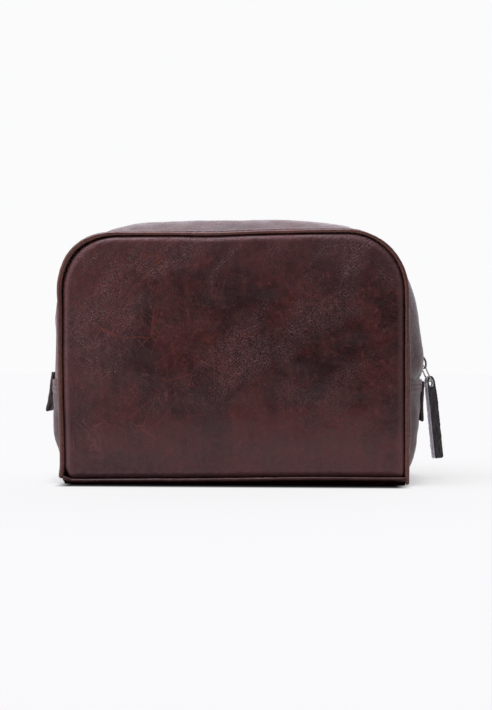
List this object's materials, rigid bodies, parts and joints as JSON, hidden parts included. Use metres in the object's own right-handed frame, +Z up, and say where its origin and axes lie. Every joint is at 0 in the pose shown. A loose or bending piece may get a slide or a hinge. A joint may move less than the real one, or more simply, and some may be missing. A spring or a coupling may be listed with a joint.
{
  "type": "shaving kit bag",
  "caption": "Soft rectangular leather shaving kit bag with piped walls, an arched zip round the top, a hanging leather zip pull and folded end tabs.",
  "frame": {"origin": "middle of the base's underside, on the surface that the bag stands on", "axes": "+X along the bag's length towards the zip pull, +Y from the front wall to the back wall, +Z up"},
  "size_m": [0.3056, 0.114, 0.199],
  "materials": {
    "wall_leather": "waxed pull-up leather, soft sheen",
    "gusset_leather": "waxed pull-up leather, burnished",
    "base_leather": "waxed leather, satin",
    "piping_leather": "turned leather, satin",
    "strap_leather": "dark leather with raw edges",
    "tab_leather": "dark leather with raw edges",
    "lining": "plain woven cotton",
    "board": "pressed fibre board",
    "piping_cord": "twisted cotton cord",
    "thread": "waxed thread",
    "zip_tape": "woven tape",
    "zip_metal": "darkened metal",
    "slider_metal": "darkened metal, knurled crown",
    "ring_metal": "polished wire"
  },
  "bodies": {
    "bag": {"base_panel": "base_leather", "base_board": "board", "base_lining": "lining", "back_panel": "wall_leather", "back_board": "board", "back_lining": "lining", "back_piping": "piping_leather", "back_piping_cord": "piping_cord", "back_base_piping": "piping_leather", "back_base_piping_cord": "piping_cord", "back_zip_strip": "gusset_leather", "back_strip_lining": "lining", "back_zip_tape": "zip_tape", "back_zip_teeth": "zip_metal", "back_zip_stops": "zip_metal", "left_side_panel": "gusset_leather", "left_side_lining": "lining", "left_seam_stitches": "thread", "right_side_panel": "gusset_leather", "right_side_lining": "lining", "right_seam_stitches": "thread"},
    "front_wall": {"front_panel": "wall_leather", "front_board": "board", "front_lining": "lining", "front_piping": "piping_leather", "front_piping_cord": "piping_cord", "front_base_piping": "piping_leather", "front_base_piping_cord": "piping_cord", "front_zip_strip": "gusset_leather", "front_strip_lining": "lining", "front_zip_tape": "zip_tape", "front_zip_teeth": "zip_metal", "front_zip_stops": "zip_metal"},
    "slider": {"slider_body": "slider_metal", "slider_crown": "slider_metal"},
    "ring": {"pull_ring": "ring_metal"},
    "strap": {"pull_strap_outer": "strap_leather", "pull_strap_inner": "strap_leather"},
    "left_tab": {"left_end_tab": "tab_leather"},
    "right_tab": {"right_end_tab": "tab_leather"}
  },
  "joints": [
    {"name": "mouth_opening", "type": "hinge", "parent": "bag", "child": "front_wall", "pos_m": [0, -0.0549, 0.0024], "axis": [1, 0, 0], "range_deg": [0, 20]},
    {"name": "slider_travel", "type": "slide", "parent": "bag", "child": "slider", "axis": [-0.0571, 0, 0.9984], "range_m": [0, 0.032]},
    {"name": "ring_swing", "type": "hinge", "parent": "slider", "child": "ring", "pos_m": [0.14301, 0, 0.08773], "axis": [0.4067, -0.9135, 0], "range_deg": [0, 45]},
    {"name": "strap_swing", "type": "hinge", "parent": "ring", "child": "strap", "pos_m": [0.14845, 0.00242, 0.07551], "axis": [0.4067, -0.9135, 0], "range_deg": [-8, 25]},
    {"name": "left_tab_flex", "type": "hinge", "parent": "bag", "child": "left_tab", "pos_m": [-0.1417, 0, 0.0825], "axis": [0, 1, 0], "range_deg": [0, 60]},
    {"name": "right_tab_flex", "type": "hinge", "parent": "bag", "child": "right_tab", "pos_m": [0.1417, 0, 0.0758], "axis": [0, -1, 0], "range_deg": [0, 6]}
  ]
}
